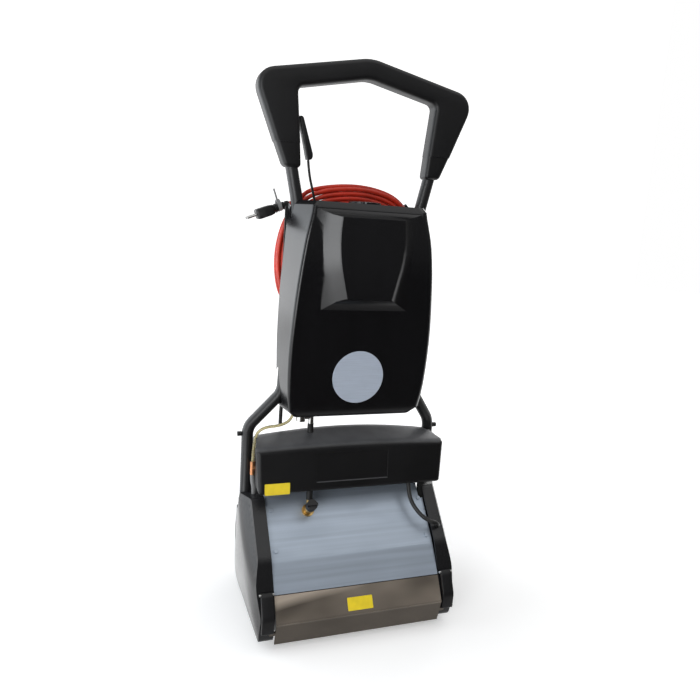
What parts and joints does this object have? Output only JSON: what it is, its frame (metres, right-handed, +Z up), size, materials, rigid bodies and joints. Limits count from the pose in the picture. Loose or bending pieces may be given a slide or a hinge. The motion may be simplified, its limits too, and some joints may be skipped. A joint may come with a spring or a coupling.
{
  "type": "floor scrubber",
  "caption": "Upright floor scrubber: twin cylindrical brushes under a steel hood, motor cover, yoke handle with solution tank, trigger, tap and coiled mains cord.",
  "frame": {"origin": "on the floor, under the middle of the machine's bounding box without its mains cord", "axes": "+X to the right seen from the front, +Y to the back, +Z up"},
  "size_m": [0.452, 0.3721, 1.1282],
  "materials": {
    "black_moulding": "satin moulded",
    "grip_moulding": "fine grain",
    "tank_moulding": "gloss moulded",
    "black_paint": "satin powder coat",
    "frame_paint": "grey powder coat",
    "brushed_sheet": "brushed",
    "bright_steel": "bright",
    "valve_chrome": "polished",
    "pulley_alloy": "turned",
    "badge_alloy": "satin, bare",
    "bristle": "nylon bristle",
    "drum_plastic": "satin",
    "soft_rubber": "matte",
    "wheel_tyre": "matte",
    "tap_brass": "satin",
    "copper_fitting": "satin copper",
    "grey_hose": "satin",
    "clear_tube": "clear, yellowed",
    "red_cord": "satin",
    "black_lead": "matte"
  },
  "bodies": {
    "base": {"chassis_frame": "frame_paint", "shaft_bearings": "bright_steel", "drive_belt": "soft_rubber", "motor": "frame_paint", "left_housing": "black_moulding", "right_housing": "black_moulding", "front_hood": "brushed_sheet", "rear_cover": "brushed_sheet", "motor_cover": "black_moulding", "pivot_pins": "bright_steel", "wheel_axle": "bright_steel", "latch_pins": "bright_steel", "spray_bar": "drum_plastic", "tap_elbow": "tap_brass", "cover_screws": "bright_steel", "side_cable": "black_lead", "side_fitting": "copper_fitting", "side_hose": "grey_hose", "solution_hose": "soft_rubber", "vent_tube": "clear_tube"},
    "tray": {"recovery_tray": "brushed_sheet", "scraper_blade": "soft_rubber"},
    "left_latch": {"left_latch": "black_moulding"},
    "right_latch": {"right_latch": "black_moulding"},
    "front_brush": {"front_brush": "bristle", "front_brush_shaft": "bright_steel", "front_brush_pulley": "pulley_alloy"},
    "rear_brush": {"rear_brush": "bristle", "rear_brush_shaft": "bright_steel", "rear_brush_pulley": "pulley_alloy"},
    "drum": {"pickup_drum": "drum_plastic", "drum_pulley": "pulley_alloy"},
    "rotor": {"motor_shaft": "bright_steel", "motor_pulley": "pulley_alloy"},
    "tensioner": {"belt_tensioner": "pulley_alloy"},
    "left_wheel": {"left_wheel": "drum_plastic", "left_tyre": "wheel_tyre"},
    "right_wheel": {"right_wheel": "drum_plastic", "right_tyre": "wheel_tyre"},
    "tap": {"tap_knob": "black_moulding"},
    "handle": {"left_tube": "black_paint", "right_tube": "black_paint", "pivot_bushes": "drum_plastic", "yoke_bolts": "black_paint", "handle_grip": "grip_moulding", "water_tank": "tank_moulding", "badge_disc": "badge_alloy", "outlet_valve": "valve_chrome", "carrier_plate": "black_paint", "cord_hooks": "black_paint", "cord_coil": "red_cord", "plug": "black_lead", "cord_clip": "grey_hose", "cord_box": "black_lead", "pull_wire": "black_lead", "power_lead": "black_lead"},
    "trigger": {"trigger_lever": "grip_moulding"},
    "switch": {"power_switch": "grip_moulding"},
    "cap": {"tank_cap": "tank_moulding"},
    "cord_swivel": {"swivel_hook": "black_paint"}
  },
  "joints": [
    {"name": "handle_tilt", "type": "hinge", "parent": "base", "child": "handle", "pos_m": [0, 0.005, 0.145], "axis": [-1, 0, 0], "range_deg": [0, 55], "deforming": ["power_lead", "solution_hose", "vent_tube"]},
    {"name": "rear_brush_spin", "type": "hinge", "parent": "base", "child": "rear_brush", "pos_m": [0, 0.063, 0.045], "axis": [1, 0, 0], "continuous": true},
    {"name": "front_brush_spin", "type": "hinge", "parent": "base", "child": "front_brush", "pos_m": [0, -0.053, 0.045], "axis": [1, 0, 0], "continuous": true},
    {"name": "drum_spin", "type": "hinge", "parent": "base", "child": "drum", "pos_m": [0, 0.005, 0.088], "axis": [1, 0, 0], "continuous": true},
    {"name": "motor_spin", "type": "hinge", "parent": "base", "child": "rotor", "pos_m": [0, -0.005, 0.324], "axis": [1, 0, 0], "continuous": true},
    {"name": "tensioner_spin", "type": "hinge", "parent": "base", "child": "tensioner", "pos_m": [0, -0.109, 0.05], "axis": [1, 0, 0], "continuous": true},
    {"name": "left_wheel_spin", "type": "hinge", "parent": "base", "child": "left_wheel", "pos_m": [-0.12, 0.154, 0.032], "axis": [1, 0, 0], "continuous": true},
    {"name": "right_wheel_spin", "type": "hinge", "parent": "base", "child": "right_wheel", "pos_m": [0.12, 0.154, 0.032], "axis": [1, 0, 0], "continuous": true},
    {"name": "tray_slide", "type": "slide", "parent": "base", "child": "tray", "axis": [0, -1, 0], "range_m": [0, 0.15]},
    {"name": "left_latch_turn", "type": "hinge", "parent": "base", "child": "left_latch", "pos_m": [-0.19, -0.16277, 0.11532], "axis": [-1, 0, 0], "range_deg": [0, 90]},
    {"name": "right_latch_turn", "type": "hinge", "parent": "base", "child": "right_latch", "pos_m": [0.19, -0.16277, 0.11532], "axis": [-1, 0, 0], "range_deg": [0, 90]},
    {"name": "tap_turn", "type": "hinge", "parent": "base", "child": "tap", "pos_m": [-0.088, -0.06424, 0.2343], "axis": [0, -0.7611, 0.6486], "range_deg": [0, 90]},
    {"name": "trigger_pull", "type": "hinge", "parent": "handle", "child": "trigger", "pos_m": [-0.126, -0.025, 1.006], "axis": [0, 1, 0], "range_deg": [0, 10], "stiffness_Nm_per_rad": 0.6, "springref_deg": -5.73, "deforming": ["pull_wire"]},
    {"name": "switch_rock", "type": "hinge", "parent": "handle", "child": "switch", "pos_m": [0.176, -0.01, 1.016], "axis": [1, 0, 0], "range_deg": [-6, 6]},
    {"name": "cap_lift", "type": "slide", "parent": "handle", "child": "cap", "axis": [0, 0, 1], "range_m": [0, 0.06]},
    {"name": "hook_swivel", "type": "hinge", "parent": "handle", "child": "cord_swivel", "pos_m": [0, 0.015, 0.6595], "axis": [0, 1, 0], "range_deg": [0, 180]}
  ],
  "couplings": [
    {"joint": "front_brush_spin", "follows": "rear_brush_spin", "ratio": -1},
    {"joint": "drum_spin", "follows": "rear_brush_spin", "ratio": 0.43478},
    {"joint": "motor_spin", "follows": "rear_brush_spin", "ratio": 1.3333},
    {"joint": "tensioner_spin", "follows": "rear_brush_spin", "ratio": 1.3333}
  ]
}
